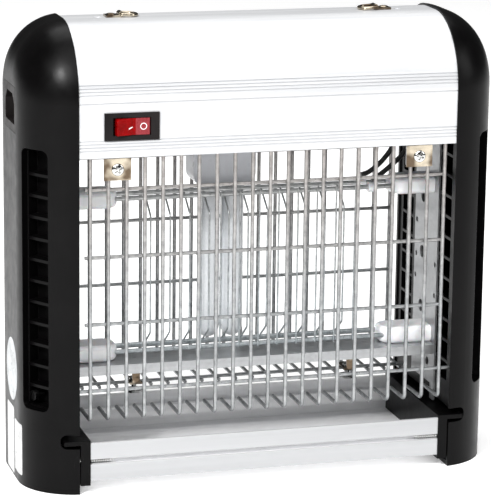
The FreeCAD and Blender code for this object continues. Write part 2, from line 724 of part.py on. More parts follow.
STRIP_HOLES = [
    # backwards from the centre plane, height, radius
    (3.2, 113.0, 3.6),
    (3.2, 81.1, 3.6),
    (3.2, 145.5, 3.6),
    (12.7, 109.9, 1.5),
    (13.6, 97.0, 1.5),
    (13.1, 129.8, 1.5),
    (-18.6, 110.0, 1.5),
    (-18.6, 92.0, 1.5),
    (-10.0, 51.5, 2.4),
]


def right_strip():
    """Galvanised side strip that carries both insulators and the cross bar, pierced with round holes."""
    face = d.panel_inner - d.strip_wall
    plate = block("strip_plate", (face, d.panel_inner), (-d.strip_front, d.strip_rear),
                  (d.strip_bottom, d.profile_bottom + 1.4))
    leg = block("strip_leg", (face, d.panel_inner), (-d.strip_front, -d.strip_front + 6),
                (d.strip_bottom - 9, d.strip_bottom + 1))
    holes = [rod(f"strip_hole_{i}", "x", (face - 1, y, z), d.strip_wall + 2, radius)
             for i, (y, z, radius) in enumerate(STRIP_HOLES)]
    return cut("strip_cut", fuse("strip_blank", plate, leg), *holes)


def cross_bar():
    """Shallow channel between the side strips that carries the lower insulators."""
    end = d.panel_inner - d.strip_wall
    top = block("bar_web", (-end, end), (-d.bar_front, d.bar_rear), (d.bar_top - d.bar_wall, d.bar_top))
    front = block("bar_front_flange", (-end, end), (-d.bar_front, -d.bar_front + d.bar_wall),
                  (d.bar_top - d.bar_flange, d.bar_top))
    rear = block("bar_rear_flange", (-end, end), (d.bar_rear - d.bar_wall, d.bar_rear),
                 (d.bar_top - d.bar_flange, d.bar_top))
    return fuse("bar_channel", top, front, rear)


def rail_height(upper):
    """Middle of the insulators, where the rails run."""
    return (d.upper_insulator_low if upper else d.bar_top) + d.insulator_rise * 0.5


def right_insulator(name, upper, inner):
    """Glazed block with a rounded nose and a blind hole for each rail."""
    low = rail_height(upper) - d.insulator_rise * 0.5
    body = doc.addObject("PartDesign::Body", name)
    face = outline(body, f"{name}_face", "XY_Plane", low,
                   rectangle(inner, d.panel_inner - d.strip_wall, -d.insulator_front,
                             d.insulator_rear))
    pad(body, face, d.insulator_rise)
    fillet(body, f"{name}_nose",
           lambda b: along_z(b) and near(b.XMin, inner.value), d.insulator_nose)
    ends = (low.value, (low + d.insulator_rise).value)
    fillet(body, f"{name}_edge",
           lambda b: near(b.ZMin, b.ZMax) and (near(b.ZMin, ends[0]) or near(b.ZMin, ends[1]))
           and b.XMin < d.cover_seam.value - 1, d.insulator_edge)
    holes = [rod(f"{name}_hole_{i}", "x", (inner - 1, y, rail_height(upper)),
                 d.rail_end - inner + 1.5, d.rail_radius + 0.1)
             for i, y in enumerate((-d.rail_front, d.rail_rear))]
    return cut(f"{name}_cut", body, *holes)


def rails(y):
    end = d.rail_end.value
    return [straight_rod(Vector(-end, y, z), Vector(end, y, z), d.rail_radius.value)
            for z in (rail_height(True).value, rail_height(False).value)]


def grid_plane():
    """Both electrodes' wires share this plane, on the front of the front rails."""
    return -d.rail_front.value - d.rail_radius.value - d.grid_wire.value + 0.3


def straight_wire_grid():
    y = grid_plane()
    top = rail_height(True).value + d.rail_radius.value
    low = rail_height(False).value - d.rail_radius.value
    wires = [straight_rod(Vector(x, y, low), Vector(x, y, top), d.grid_wire.value)
             for x in shared_positions(d.grid_pitch.value, 11, d.straight_shift.value)]
    return shaped("straight_grid_shape", welded(rails(-d.rail_front.value) + wires))


def bent_wire_grid():
    y = grid_plane()
    rear = d.rail_rear.value
    top = rail_height(True).value
    low = rail_height(False).value
    drop = d.bent_drop.value
    wires = []
    for x in shared_positions(d.grid_pitch.value, 11, d.bent_shift.value):
        path = [Vector(x, rear, top), Vector(x, y, top - drop), Vector(x, y, low + drop), Vector(x, rear, low)]
        wires.append(bent_rod(path, d.grid_wire.value, [3.0, 3.0]))
    return shaped("bent_grid_shape", welded(rails(rear) + wires))


LEAD_ROUTES = [
    # from a transformer tail in the top housing, down through the chassis, to the end of a rail
    [(91, 3, 198), (91, 3, 184), (85.4, 2.6, 173), (78.9, 2.2, 165.6), (71.8, 1.8, 160.8), (67.5, 1.6, 159.8)],
    [(95, -5, 198), (95, -5, 184), (90.5, -7, 173.2), (81.4, -9.5, 166.6), (74.5, -11.2, 162.1),
     (69.4, -11.6, 159.7)],
]


def high_voltage_leads():
    leads = []
    for route in LEAD_ROUTES:
        points = [Vector(*point) for point in route]
        leads.append(bent_rod(points, d.lead_radius.value, easy_bends(points)))
    return shaped("lead_shapes", Part.makeCompound(leads))


def lead_terminals():
    """Ceramic beads where the two leads meet the upper rails."""
    upper = rail_height(True)
    beads = []
    for i, (x, y) in enumerate(((67.2, -d.rail_front), (65.3, d.rail_rear))):
        bead = rod(f"bead_{i}", "x", (x, y, upper), 4.5, d.rail_radius + 1.6)
        bore = rod(f"bead_bore_{i}", "x", (x - 1, y, upper), 7, d.rail_radius + 0.05)
        beads.append(cut(f"bead_cut_{i}", bead, bore))
    return group("bead_group", *beads)


# ---- lamp --------------------------------------------------------------------------------------

def lamp_tubes():
    """U lamp: two parallel tubes with domed tips, joined by a short bridge near the tips."""
    r = d.lamp_tube.value
    x, y = d.lamp_x.value, d.lamp_y.value
    tip = d.lamp_bottom.value
    top = d.lamp_base_bottom.value
    parts = []
    for way in (-1, 1):
        centre = Vector(x + way * d.lamp_spread.value, y, tip + r)
        tube = Part.makeCylinder(r, top - tip - r, centre)
        parts += [tube, Part.makeSphere(r, centre)]
    spread = d.lamp_spread.value
    bridge = straight_rod(Vector(x - spread, y, tip + 9), Vector(x + spread, y, tip + 9), 3.0)
    return shaped("lamp_glass", welded(parts + [bridge]))


def lamp_base():
    """Moulded lamp base with rounded lower corners."""
    body = doc.addObject("PartDesign::Body", "lamp_base_body")
    x, half_w = d.lamp_x, d.lamp_base_half_width
    face = outline(body, "lamp_base_face", "XZ_Plane", -d.lamp_y - d.lamp_base_half_depth,
                   rectangle(x - half_w, x + half_w, d.lamp_base_bottom, d.lamp_base_top))
    pad(body, face, d.lamp_base_half_depth * 2)
    fillet(body, "lamp_base_round",
           lambda b: along_y(b) and near(b.ZMax, d.lamp_base_bottom.value), as_size(7))
    return body


def lamp_pins():
    return group("lamp_pin_group", *[
        rod(f"lamp_pin_{way}", "z", (d.lamp_x + 11.5 * way, d.lamp_y, d.lamp_base_top), 7, 1.15)
        for way in (-1, 1)])


def lamp_holder():
    seat = d.lamp_base_top + 0.4
    shell = block("holder_blank", (d.lamp_x - 20, d.lamp_x + 20), (d.lamp_y - 10.5, d.lamp_y + 10.5),
                  (d.profile_bottom + 2.4, 204))
    mouth = block("holder_mouth", (d.lamp_x - 18.6, d.lamp_x + 18.6), (d.lamp_y - 9.1, d.lamp_y + 9.1),
                  (d.profile_bottom, seat))
    pin_holes = [rod(f"holder_hole_{way}", "z", (d.lamp_x + 11.5 * way, d.lamp_y, seat - 1), 9, 1.3)
                 for way in (-1, 1)]
    return cut("holder_cut", shell, mouth, *pin_holes)


# ---- electrics in the top housing --------------------------------------------------------------

def wound_core(name, x, y, z, core, window, coil):
    """A laminated core around a coil: returns both pieces, each standing on z."""
    lamination = block(f"{name}_lamination", (x - core[0], x + core[0]), (y - core[1], y + core[1]),
                       (z, as_size(z) + core[2]))
    opening = block(f"{name}_window", (x - window, x + window), (y - 60, y + 60),
                    (as_size(z) + 6, as_size(z) + core[2] - 6))
    ring = cut(f"{name}_ring", lamination, opening)
    winding = block(f"{name}_winding", (x - window + 0.5, x + window - 0.5), (y - coil, y + coil),
                    (as_size(z) + 6.5, as_size(z) + core[2] - 6.5))
    return ring, winding


def circuit_board(level):
    """Voltage multiplier: a small board on four posts, with its capacitors."""
    board = block("board_sheet", (44, 82), (-14, 34), (level + 6, level + 7.6))
    posts = [rod(f"board_post_{x}_{y}", "z", (x, y, level), 6.2, 2) for x in (48, 78) for y in (-10, 30)]
    return fuse("board_blank", board, *posts)


def capacitors(level):
    return group("capacitor_group", *[
        rod(f"capacitor_{i}", "z", (51 + 12 * i, 20, level + 7.7), 15, 4.6) for i in range(3)])


def terminal_block(level):
    base = block("terminal_base", (-58, -30), (-34, -22), (level, level + 13))
    wells = [rod(f"terminal_well_{i}", "z", (-53.5 + 9.5 * i, -28, level + 7), 9, 2.1) for i in range(3)]
    return cut("terminal_cut", base, *wells)


def switch_housing():
    """Snap-in switch body: a thin bezel outside the profile and a box behind it."""
    x, z = d.switch_x, d.switch_z
    face = -d.profile_half_depth
    bezel = block("switch_bezel", (x - d.bezel_half_width, x + d.bezel_half_width), (face - 1.0, face),
                  (z - d.bezel_half_height, z + d.bezel_half_height))
    box = block("switch_box", (x - 11, x + 11), (face, face + 22), (z - 6.3, z + 6.3))
    cavity_half = d.rocker_half_width + 0.9
    cavity = block("switch_cavity", (x - cavity_half, x + cavity_half), (face - 3, face + 9),
                   (z - d.rocker_half_height - 0.3, z + d.rocker_half_height + 0.3))
    bore = rod("switch_bore", "z", (x, -d.hinge_plane, z - 5.9), 11.8, 1.05)
    return cut("switch_cut", fuse("switch_blank", bezel, box), cavity, bore)


def switch_rocker():
    """Rocker with a shallow valley in front, shown with its right half pressed."""
    half = d.rocker_half_width
    crown = half * math.tan(math.radians(d.rocker_tilt.value))
    body = doc.addObject("PartDesign::Body", "rocker_body")
    face = outline(body, "rocker_face", "XY_Plane", -d.rocker_half_height,
                   [(as_size(0.01), as_size(-3.2)), (half, -crown - 3.2), (half - 0.7, as_size(2.6)),
                    (0.7 - half, as_size(2.6)), (-half, -crown - 3.2)])
    pad(body, face, d.rocker_half_height * 2)
    fillet(body, "rocker_edges", lambda b: along_z(b) and b.YMax < -3.5, as_size(0.6))
    pin = rod("rocker_pin", "z", (0, 0, -5.8), 11.6, 1.0)
    rocker = fuse("rocker_pinned", body, pin)
    turn = FreeCAD.Rotation(Vector(0, 0, 1), d.rocker_tilt.value)
    rocker.Placement = FreeCAD.Placement(Vector(), turn)
    place(rocker, d.switch_x, -d.hinge_plane, d.switch_z)
    return rocker


def switch_terminals():
    back = -d.profile_half_depth + 22
    return group("switch_terminal_group", *[
        block(f"switch_blade_{x}_{z}", (d.switch_x + x - 2.4, d.switch_x + x + 2.4), (back, back + 8),
              (d.switch_z + z - 0.4, d.switch_z + z + 0.4))
        for x in (-6, 6) for z in (-3, 3)])


def mains_inlet(blades):
    """Recessed appliance inlet, sunk flush into the left cover, moulded around its blades."""
    face = -d.cover_outer
    y, z = d.inlet_y, d.inlet_z
    flange = block("inlet_flange", (face, face + 1.4), (y - d.inlet_half_width, y + d.inlet_half_width),
                   (z - d.inlet_half_height, z + d.inlet_half_height))
    barrel = block("inlet_barrel", (face + 1.4, face + 20), (y - 13.9, y + 13.9), (z - 9.9, z + 9.9))
    mouth_body = doc.addObject("PartDesign::Body", "inlet_mouth")
    mouth = outline(mouth_body, "inlet_mouth_face", "YZ_Plane", face - 1,
                    [(y - 12.1, z - 8.15), (y + 12.1, z - 8.15), (y + 12.1, z + 3.0), (y + 7.0, z + 8.15),
                     (y - 7.0, z + 8.15), (y - 12.1, z + 3.0)])
    pad(mouth_body, mouth, 17.0)
    return cut("inlet_cut", fuse("inlet_blank", flange, barrel), mouth_body, blades)


def inlet_pins():
    """Three flat blades through the inlet's back wall."""
    back = -d.cover_outer + 16
    return group("inlet_pin_group", *[
        block(f"inlet_pin_{i}", (back - 10, back + 8), (d.inlet_y + y - 1, d.inlet_y + y + 1),
              (d.inlet_z + z - 2, d.inlet_z + z + 2))
        for i, (y, z) in enumerate(((-7, -2), (0, 2), (7, -2)))])


# ---- hanging rings -----------------------------------------------------------------------------

def right_hang_bracket():
    """Riveted plate whose rolled edge holds the ring."""
    top = d.profile_top
    hinge_z = top + d.hanger_rise
    plate = block("hang_plate", (d.hanger_x, d.hanger_x + 8.6), (-3.7, 3.7), (top, top + 1.2))
    knuckle = rod("hang_knuckle", "y", (d.hanger_x, -3, hinge_z), 6, d.ring_wire + 0.65)
    bore = rod("hang_bore", "y", (d.hanger_x, -5, hinge_z), 10, d.ring_wire + 0.08)
    hole = rod("hang_hole", "z", (d.hanger_x + 5.4, 0, top - 1), 4, 1.6)
    return cut("hang_cut", fuse("hang_blank", plate, knuckle), bore, hole)


def hang_rivets():
    rivets = []
    for way in (-1, 1):
        x = (d.hanger_x + 5.4) * way
        top = d.profile_top
        head = rod(f"rivet_head_{way}", "z", (x, 0, top + 1.2), 0.9, 2.5)
        shank = rod(f"rivet_shank_{way}", "z", (x, 0, top - 2.4), 4.2, 1.5)
        tail = rod(f"rivet_tail_{way}", "z", (x, 0, top - 2.4), 0.8, 2.4)
        rivets.append(fuse(f"rivet_{way}", head, shank, tail))
    return group("rivet_group", *rivets)


def hang_ring(way):
    """D-shaped ring: a straight bar in the knuckle and a half-round bow lying on the profile."""
    wire, bow = d.ring_wire.value, d.ring_radius.value
    bar = straight_rod(Vector(0, -bow, 0), Vector(0, bow, 0), wire)
    legs = [straight_rod(Vector(0, y, 0), Vector(-4.2 * way, y, 0), wire) for y in (-bow, bow)]
    corners = [Part.makeSphere(wire, Vector(0, y, 0)) for y in (-bow, bow)]
    half_ring = Part.makeTorus(bow, wire, Vector(), Vector(0, 0, 1), 0, 360, 180)
    half_ring.rotate(Vector(), Vector(0, 0, 1), 90 * way)
    half_ring.translate(Vector(-4.2 * way, 0, 0))
    ring = shaped("ring_shape", welded([bar, half_ring] + legs + corners))
    tilt = FreeCAD.Rotation(Vector(0, 1, 0), -d.ring_tilt.value * way)
    hinge = Vector(d.hanger_x.value * way, 0, (d.profile_top + d.hanger_rise).value)
    ring.Placement = FreeCAD.Placement(hinge, tilt)
    return ring


# ---- tray --------------------------------------------------------------------------------------

def tray_channel():
    """Extruded tray: floor, front and rear walls, and a screw channel open to the front."""
    length = (-d.tray_half_length, d.tray_half_length)
    front, rear = -d.tray_front, d.tray_rear
    z = d.tray_groove_z
    floor = block("tray_floor", length, (front, rear), (d.tray_bottom, d.tray_bottom + d.tray_wall))
    front_wall = block("tray_front_wall", length, (front, front + d.tray_wall), (d.tray_bottom, d.tray_top))
    rear_wall = block("tray_rear_wall", length, (rear - d.tray_wall, rear), (d.tray_bottom, d.tray_top))
    rear_boss = block("tray_rear_boss", length, (rear - 6, rear - 1), (z - 3.2, z + 3.2))
    front_boss = block("tray_front_boss", length, (front + 1, front + 6.2), (z - 3.2, z + 3.2))
    rib = block("tray_rib", length, (-14, -12.5), (d.tray_bottom + 1, d.tray_bottom + 3))
    slot = block("tray_slot", (-d.tray_half_length - 1, d.tray_half_length + 1), (front - 1, front + 3.2),
                 (z - 1.4, z + 1.4))
    bores = [rod(f"tray_bore_{i}", "x", (-d.tray_half_length - 1, y, z), d.tray_half_length * 2 + 2, 1.95)
             for i, y in enumerate((front + 3.2, rear - 3.4))]
    blank = fuse("tray_blank", floor, front_wall, rear_wall, rear_boss, front_boss, rib)
    return cut("tray_cut", blank, slot, *bores)


def right_tray_end():
    """Moulded tray end with the flange that rides in the cover's slot."""
    inner = d.tray_half_length
    y_low, y_high = -d.tray_front - 0.4, d.tray_rear + 0.2
    plate = block("tray_end_plate", (inner, d.tray_end_outer), (y_low, y_high),
                  (d.tray_end_bottom, d.tray_flange_low + d.tray_flange_wall))
    flange = block("tray_end_flange", (inner, d.tray_flange_outer), (y_low, d.tray_rear - 5),
                   (d.tray_flange_low, d.tray_flange_low + d.tray_flange_wall))
    holes = []
    for i, y in enumerate((-d.tray_front + 3.2, d.tray_rear - 3.4)):
        holes.append(rod(f"tray_end_hole_{i}", "x", (inner - 1, y, d.tray_groove_z), 9, 2.0))
        holes.append(rod(f"tray_end_sink_{i}", "x", (d.tray_end_outer - 1.9, y, d.tray_groove_z), 3, 3.5))
    return cut("tray_end_cut", fuse("tray_end_blank", plate, flange), *holes)


def tray_screws():
    screws = []
    for way in (-1, 1):
        for y in (-d.tray_front + 3.2, d.tray_rear - 3.4):
            tag = f"{way}_{len(screws)}"
            tip, seat, face = d.tray_half_length - 14, d.tray_end_outer - 1.9, d.tray_end_outer - 0.3
            low, high = sorted_pair(way, tip, seat)
            shank = rod(f"tray_shank_{tag}", "x", (low, y, d.tray_groove_z), high - low, 1.8)
            low, high = sorted_pair(way, seat, face)
            head = rod(f"tray_head_{tag}", "x", (low, y, d.tray_groove_z), high - low, 3.2)
            screws.append(fuse(f"tray_screw_{tag}", shank, head))
    return group("tray_screw_group", *screws)


# ---- assembly ----------------------------------------------------------------------------------

def pair(name, right):
    """Lists a right-hand piece and its mirrored twin."""
    node(f"left_{name}", mirrored(f"{name}_twin", right))
    node(f"right_{name}", right)


def build_housing():
    cover = right_cover()
    node("left_end_cover", left_cover(cover))
    node("right_end_cover", cover)
    pair("inner_panel", right_panel())
    pair("tray_guide", tray_guide("tray_guide"))
    node("cover_screws", cover_screws())
    node("top_profile", top_profile())
    node("chassis_plate", chassis_plate())


def build_guards():
    node("front_guard", guard(-1))
    node("rear_guard", guard(1))
    node("guard_clips", group("clip_group", *[guard_clip(*place_) for place_ in clip_places()]))
    node("guard_clip_brackets", group("bracket_group", *[clip_bracket(*place_) for place_ in clip_places()]))
    node("guard_clip_screws", clip_screws())
    node("return_clips", return_clips())
    node("return_clip_screws", return_clip_screws())


def build_grid():
    pair("support_strip", right_strip())
    node("lower_cross_bar", cross_bar())
    left_upper = right_insulator("long_insulator", True, d.insulator_inner)
    node("left_upper_insulator", mirrored("long_insulator_twin", left_upper))
    node("right_upper_insulator", right_insulator("short_insulator", True, d.short_insulator_inner))
    pair("lower_insulator", right_insulator("lower_insulator", False, d.insulator_inner))
    node("straight_wire_grid", straight_wire_grid())
    node("bent_wire_grid", bent_wire_grid())
    node("high_voltage_leads", high_voltage_leads())
    node("lead_terminals", lead_terminals())


def build_lamp():
    node("lamp_tubes", lamp_tubes())
    node("lamp_base", lamp_base())
    node("lamp_pins", lamp_pins())
    node("lamp_holder", lamp_holder())


def build_electrics():
    level = d.profile_bottom + 1.4 + d.chassis_wall
    core, coil = wound_core("ballast", 22, -22, level, (20, 13, 34), 12, 18)
    node("ballast_core", core)
    node("ballast_coil", coil)
    core, coil = wound_core("transformer", 62, -29, level, (16, 9, 30), 9, 11.5)
    node("transformer_core", core)
    node("transformer_coil", coil)
    node("circuit_board", circuit_board(level))
    node("capacitors", capacitors(level))
    node("terminal_block", terminal_block(level))
    node("switch_housing", switch_housing())
    node("switch_rocker", switch_rocker())
    node("switch_terminals", switch_terminals())
    blades = inlet_pins()
    node("mains_inlet", mains_inlet(blades))
    node("inlet_pins", blades)


def build_hangers():
    pair("hang_bracket", right_hang_bracket())
    node("hang_rivets", hang_rivets())
    node("left_hang_ring", hang_ring(-1))
    node("right_hang_ring", hang_ring(1))


def build_tray():
    node("tray_channel", tray_channel())
    pair("tray_end", right_tray_end())
    node("tray_screws", tray_screws())


def check_and_export():
    doc.recompute()
    for item in doc.Objects:
        if "Invalid" in item.State or "Error" in item.State:
            raise RuntimeError(f"{item.Label} failed: {item.State}")
    for item in nodes:
        if item.Shape.isNull() or not item.Shape.isValid() or not item.Shape.Solids:
            raise RuntimeError(f"{item.Label} has no valid solid")
    os.makedirs("parts", exist_ok=True)
    for item in nodes:
        item.Shape.exportStep(f"parts/{item.Label}.step")
        print(f"{item.Label}: {len(item.Shape.Solids)} solid(s), {item.Shape.Volume:.0f} mm3")


build_housing()
build_guards()
build_grid()
build_lamp()
build_electrics()
build_hangers()
build_tray()
check_and_export()
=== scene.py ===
import json
import math

import bpy
import numpy as np
from mathutils import Matrix, Vector


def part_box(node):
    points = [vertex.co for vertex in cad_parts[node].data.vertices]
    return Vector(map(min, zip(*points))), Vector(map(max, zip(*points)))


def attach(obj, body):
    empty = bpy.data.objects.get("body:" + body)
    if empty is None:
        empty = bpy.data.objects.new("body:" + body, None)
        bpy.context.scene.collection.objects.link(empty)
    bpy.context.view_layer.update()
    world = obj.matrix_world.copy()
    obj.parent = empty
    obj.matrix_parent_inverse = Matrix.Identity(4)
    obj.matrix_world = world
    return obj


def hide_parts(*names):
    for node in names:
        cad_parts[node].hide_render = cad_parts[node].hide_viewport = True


# Electric insect killer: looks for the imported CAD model, plus the small pieces that ride on it.
# Metres throughout, +X along the length, +Y to the rear, +Z up.

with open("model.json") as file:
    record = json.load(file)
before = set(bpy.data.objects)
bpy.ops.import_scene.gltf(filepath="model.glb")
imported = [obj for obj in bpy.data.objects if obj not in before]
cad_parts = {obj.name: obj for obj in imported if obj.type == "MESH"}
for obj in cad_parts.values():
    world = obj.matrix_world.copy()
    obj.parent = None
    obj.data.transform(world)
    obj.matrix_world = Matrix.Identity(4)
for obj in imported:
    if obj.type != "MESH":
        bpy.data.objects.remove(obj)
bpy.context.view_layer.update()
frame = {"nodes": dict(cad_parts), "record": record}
CAD = frame["nodes"]
MM = 0.001


# ---- materials -----------------------------------------------------------------------------------

class Look:
    """A Principled material and short ways to give it procedural detail."""

    def __init__(self, name, metallic=0.0, **sockets):
        self.material = bpy.data.materials.new(name)
        self.material.use_nodes = True
        self.tree = self.material.node_tree
        self.shader = self.tree.nodes["Principled BSDF"]
        self.shader.inputs["Metallic"].default_value = metallic
        for socket, value in sockets.items():
            self.shader.inputs[socket.replace("_", " ")].default_value = value
        self.place = self.add("ShaderNodeTexCoord").outputs["Object"]

    def add(self, kind, **settings):
        item = self.tree.nodes.new(kind)
        for name, value in settings.items():
            setattr(item, name, value)
        return item

    def link(self, output, target):
        self.tree.links.new(output, target)

    def noise(self, scale, detail=3.0, stretch=(1, 1, 1)):
        """Noise of about 1/scale metres, drawn out along an axis by a smaller stretch."""
        mapping = self.add("ShaderNodeMapping")
        mapping.inputs["Scale"].default_value = stretch
        self.link(self.place, mapping.inputs["Vector"])
        item = self.add("ShaderNodeTexNoise")
        item.inputs["Scale"].default_value = scale
        item.inputs["Detail"].default_value = detail
        self.link(mapping.outputs["Vector"], item.inputs["Vector"])
        return item.outputs["Fac"]

    def cells(self, scale):
        item = self.add("ShaderNodeTexVoronoi")
        item.inputs["Scale"].default_value = scale
        self.link(self.place, item.inputs["Vector"])
        return item.outputs["Color"]

    def axis(self, name):
        item = self.add("ShaderNodeSeparateXYZ")
        self.link(self.place, item.inputs["Vector"])
        return item.outputs[name]

    def spread(self, fac, low, high, start, end):
        """Maps low..high of a texture to start..end."""
        item = self.add("ShaderNodeMapRange")
        for socket, value in (("From Min", low), ("From Max", high), ("To Min", start), ("To Max", end)):
            item.inputs[socket].default_value = value
        self.link(fac, item.inputs["Value"])
        return item.outputs["Result"]

    def blend(self, fac, first, second, low=0.3, high=0.7):
        """Two colours mixed by a texture."""
        ramp = self.add("ShaderNodeValToRGB")
        ramp.color_ramp.elements[0].position = low
        ramp.color_ramp.elements[1].position = high
        ramp.color_ramp.elements[0].color = (*first, 1)
        ramp.color_ramp.elements[1].color = (*second, 1)
        self.link(fac, ramp.inputs["Fac"])
        return ramp.outputs["Color"]

    def over(self, fac, under, top):
        item = self.add("ShaderNodeMix", data_type="RGBA")
        self.link(fac, item.inputs["Factor"])
        self.link(under, item.inputs["A"])
        self.link(top, item.inputs["B"])
        return item.outputs["Result"]

    def colour(self, output):
        self.link(output, self.shader.inputs["Base Color"])

    def roughness(self, fac, smooth, rough, low=0.3, high=0.7):
        self.link(self.spread(fac, low, high, smooth, rough), self.shader.inputs["Roughness"])

    def relief(self, fac, height, edge=0.0):
        """Bump of a height in metres, on top of edges softened by a radius in metres."""
        bump = self.add("ShaderNodeBump")
        bump.inputs["Strength"].default_value = 1.0
        bump.inputs["Distance"].default_value = height
        self.link(fac, bump.inputs["Height"])
        if edge:
            soft = self.add("ShaderNodeBevel", samples=4)
            soft.inputs["Radius"].default_value = edge
            self.link(soft.outputs["Normal"], bump.inputs["Normal"])
        self.link(bump.outputs["Normal"], self.shader.inputs["Normal"])


def moulded(name, dark, light, smooth, rough, grain=0.012 * MM, ior=1.45, coat=0.0):
    """Moulded plastic: a fine spark-eroded grain, cloudy gloss and softened edges."""
    look = Look(name, IOR=ior, Coat_Weight=coat, Coat_Roughness=0.12)
    cloud = look.noise(45, 4)
    look.colour(look.blend(cloud, dark, light))
    look.roughness(look.noise(160, 5), smooth, rough)
    look.relief(look.noise(2600, 2), grain, 0.4 * MM)
    return look


def anodised(name):
    """The top profile's pale anodising, with faint streaks along its length."""
    look = Look(name, metallic=0.35)
    streak = look.noise(260, 5, (0.02, 1, 1))
    look.colour(look.blend(streak, (0.57, 0.578, 0.592), (0.65, 0.655, 0.665)))
    look.roughness(look.noise(420, 4, (0.02, 1, 1)), 0.34, 0.5)
    look.relief(streak, 0.01 * MM, 0.1 * MM)
    return look


def tray_extrusion(name):
    """The tray's extrusion: a satin front, and inside a mill finish with long die lines, painted much
    brighter than the front as painted bounce light inside the tray.
    """
    look = Look(name, metallic=0.3)
    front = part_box("tray_channel")[0].y
    # Painted light: everything behind the front face is painted far brighter, standing in for light bounced
    # into the tray.
    painted_bounce_inside = look.spread(look.axis("Y"), front + 0.2 * MM, front + 1.6 * MM, 0.0, 1.0)
    streak = look.noise(170, 5, (0.012, 1, 1))
    satin = look.blend(streak, (0.40, 0.405, 0.413), (0.46, 0.465, 0.473))
    mill_with_painted_bounce = look.blend(streak, (0.80, 0.805, 0.82), (0.98, 0.98, 0.985))
    look.colour(look.over(painted_bounce_inside, satin, mill_with_painted_bounce))
    look.roughness(look.noise(420, 4, (0.02, 1, 1)), 0.30, 0.46)
    look.relief(streak, 0.02 * MM, 0.1 * MM)
    return look


def tinted(colour, tint):
    return [value * factor for value, factor in zip(colour, tint)]


def zinc_wire(name, dark, light):
    """Zinc plated wire, cool low down, with a warm painted reflection of the housing that grows towards the
    housing.
    """
    look = Look(name, metallic=0.85)
    low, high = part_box("front_guard")
    # Painted reflection: from a third of the way up the guard the wire turns warmer, standing in for the
    # housing reflected in it.
    housing_reflection_from = low.z + 0.35 * (high.z - low.z)
    painted_reflection_rise = look.spread(look.axis("Z"), housing_reflection_from, high.z, 0.0, 1.0)
    mottle = look.noise(320, 5)
    cool = look.blend(mottle, dark, light)
    painted_warm_reflection = look.blend(mottle, tinted(dark, (1.04, 0.94, 0.88)), tinted(light, (1.02, 0.94, 0.89)))
    look.colour(look.over(painted_reflection_rise, cool, painted_warm_reflection))
    look.roughness(look.noise(900, 3, (1, 1, 0.15)), 0.26, 0.46)
    look.relief(look.noise(1500, 3, (1, 1, 0.3)), 0.012 * MM)
    return look


def blue_grey(level):
    return (level * 0.97, level * 0.985, level)


def galvanised(name, level):
    """Zinc spangle: flat crystals that differ a little in grey and gloss, over faint rolling lines."""
    look = Look(name, metallic=0.85)
    crystal = look.cells(420)
    drawn = look.noise(500, 4, (0.03, 0.6, 1))
    spangle = look.blend(crystal, blue_grey(level * 0.86), blue_grey(level))
    lines = look.blend(drawn, blue_grey(level * 0.84), blue_grey(level * 1.04))
    look.colour(look.over(look.noise(60, 4), spangle, lines))
    look.roughness(crystal, 0.30, 0.44, 0.2, 0.8)
    look.relief(drawn, 0.006 * MM, 0.12 * MM)
    return look


def plated(name, dark, light, smooth, rough, wave=0.02 * MM):
    """Plated metal: mottled tone, drawn gloss and a gentle waviness that breaks up its reflections."""
    look = Look(name, metallic=1.0)
    look.colour(look.blend(look.noise(85, 2), dark, light, 0.42, 0.56))
    look.roughness(look.noise(1300, 4, (0.2, 1, 1)), smooth, rough)
    look.relief(look.noise(95, 2), wave, 0.12 * MM)
    return look


def glazed(name):
    """Glazed white ceramic."""
    look = Look(name, Coat_Weight=0.6, Coat_Roughness=0.06, Subsurface_Weight=0.12)
    look.shader.inputs["Subsurface Scale"].default_value = 0.8 * MM
    look.colour(look.blend(look.noise(150, 4), (0.88, 0.885, 0.91), (0.95, 0.952, 0.965)))
    look.roughness(look.noise(300, 3), 0.14, 0.26)
    look.relief(look.noise(240, 2), 0.02 * MM, 0.3 * MM)
    return look


def coated_glass(name):
    """Tube glass over a white phosphor coat, greyed towards the cathodes."""
    look = Look(name, Coat_Weight=1.0, Coat_Roughness=0.03, Transmission_Weight=0.18)
    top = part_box("lamp_tubes")[1].z
    grey_end = look.spread(look.axis("Z"), top - 20 * MM, top, 0.0, 1.0)
    coat = look.blend(look.noise(700, 4), (0.82, 0.85, 0.88), (0.90, 0.925, 0.945))
    burnt = look.blend(look.noise(500, 3), (0.42, 0.43, 0.45), (0.60, 0.61, 0.63))
    look.colour(look.over(grey_end, coat, burnt))
    look.roughness(look.noise(900, 2), 0.10, 0.2)
    look.relief(look.noise(1200, 2), 0.004 * MM)
    return look


def wound(name):
    """Varnished enamelled wire in level turns."""
    look = Look(name, metallic=0.6, Coat_Weight=0.4)
    wave = look.add("ShaderNodeTexWave", bands_direction="Z")
    wave.inputs["Scale"].default_value = 650
    wave.inputs["Distortion"].default_value = 0.6
    look.link(look.place, wave.inputs["Vector"])
    look.colour(look.blend(wave.outputs["Fac"], (0.20, 0.07, 0.03), (0.62, 0.27, 0.11)))
    look.roughness(look.noise(300, 3), 0.2, 0.4)
    look.relief(wave.outputs["Fac"], 0.12 * MM)
    return look


def circuit(name):
    """Green solder mask with paler tracks."""
    look = Look(name, Coat_Weight=0.5)
    brick = look.add("ShaderNodeTexBrick", offset=0.5)
    brick.inputs["Scale"].default_value = 160
    brick.inputs["Mortar Size"].default_value = 0.06
    look.link(look.place, brick.inputs["Vector"])
    mask = look.blend(look.noise(90), (0.02, 0.13, 0.05), (0.03, 0.18, 0.08))
    tracks = look.blend(look.noise(400), (0.10, 0.34, 0.15), (0.16, 0.40, 0.20))
    look.colour(look.over(brick.outputs["Fac"], mask, tracks))
    look.roughness(look.noise(500), 0.25, 0.4)
    look.relief(brick.outputs["Fac"], 0.03 * MM)
    return look


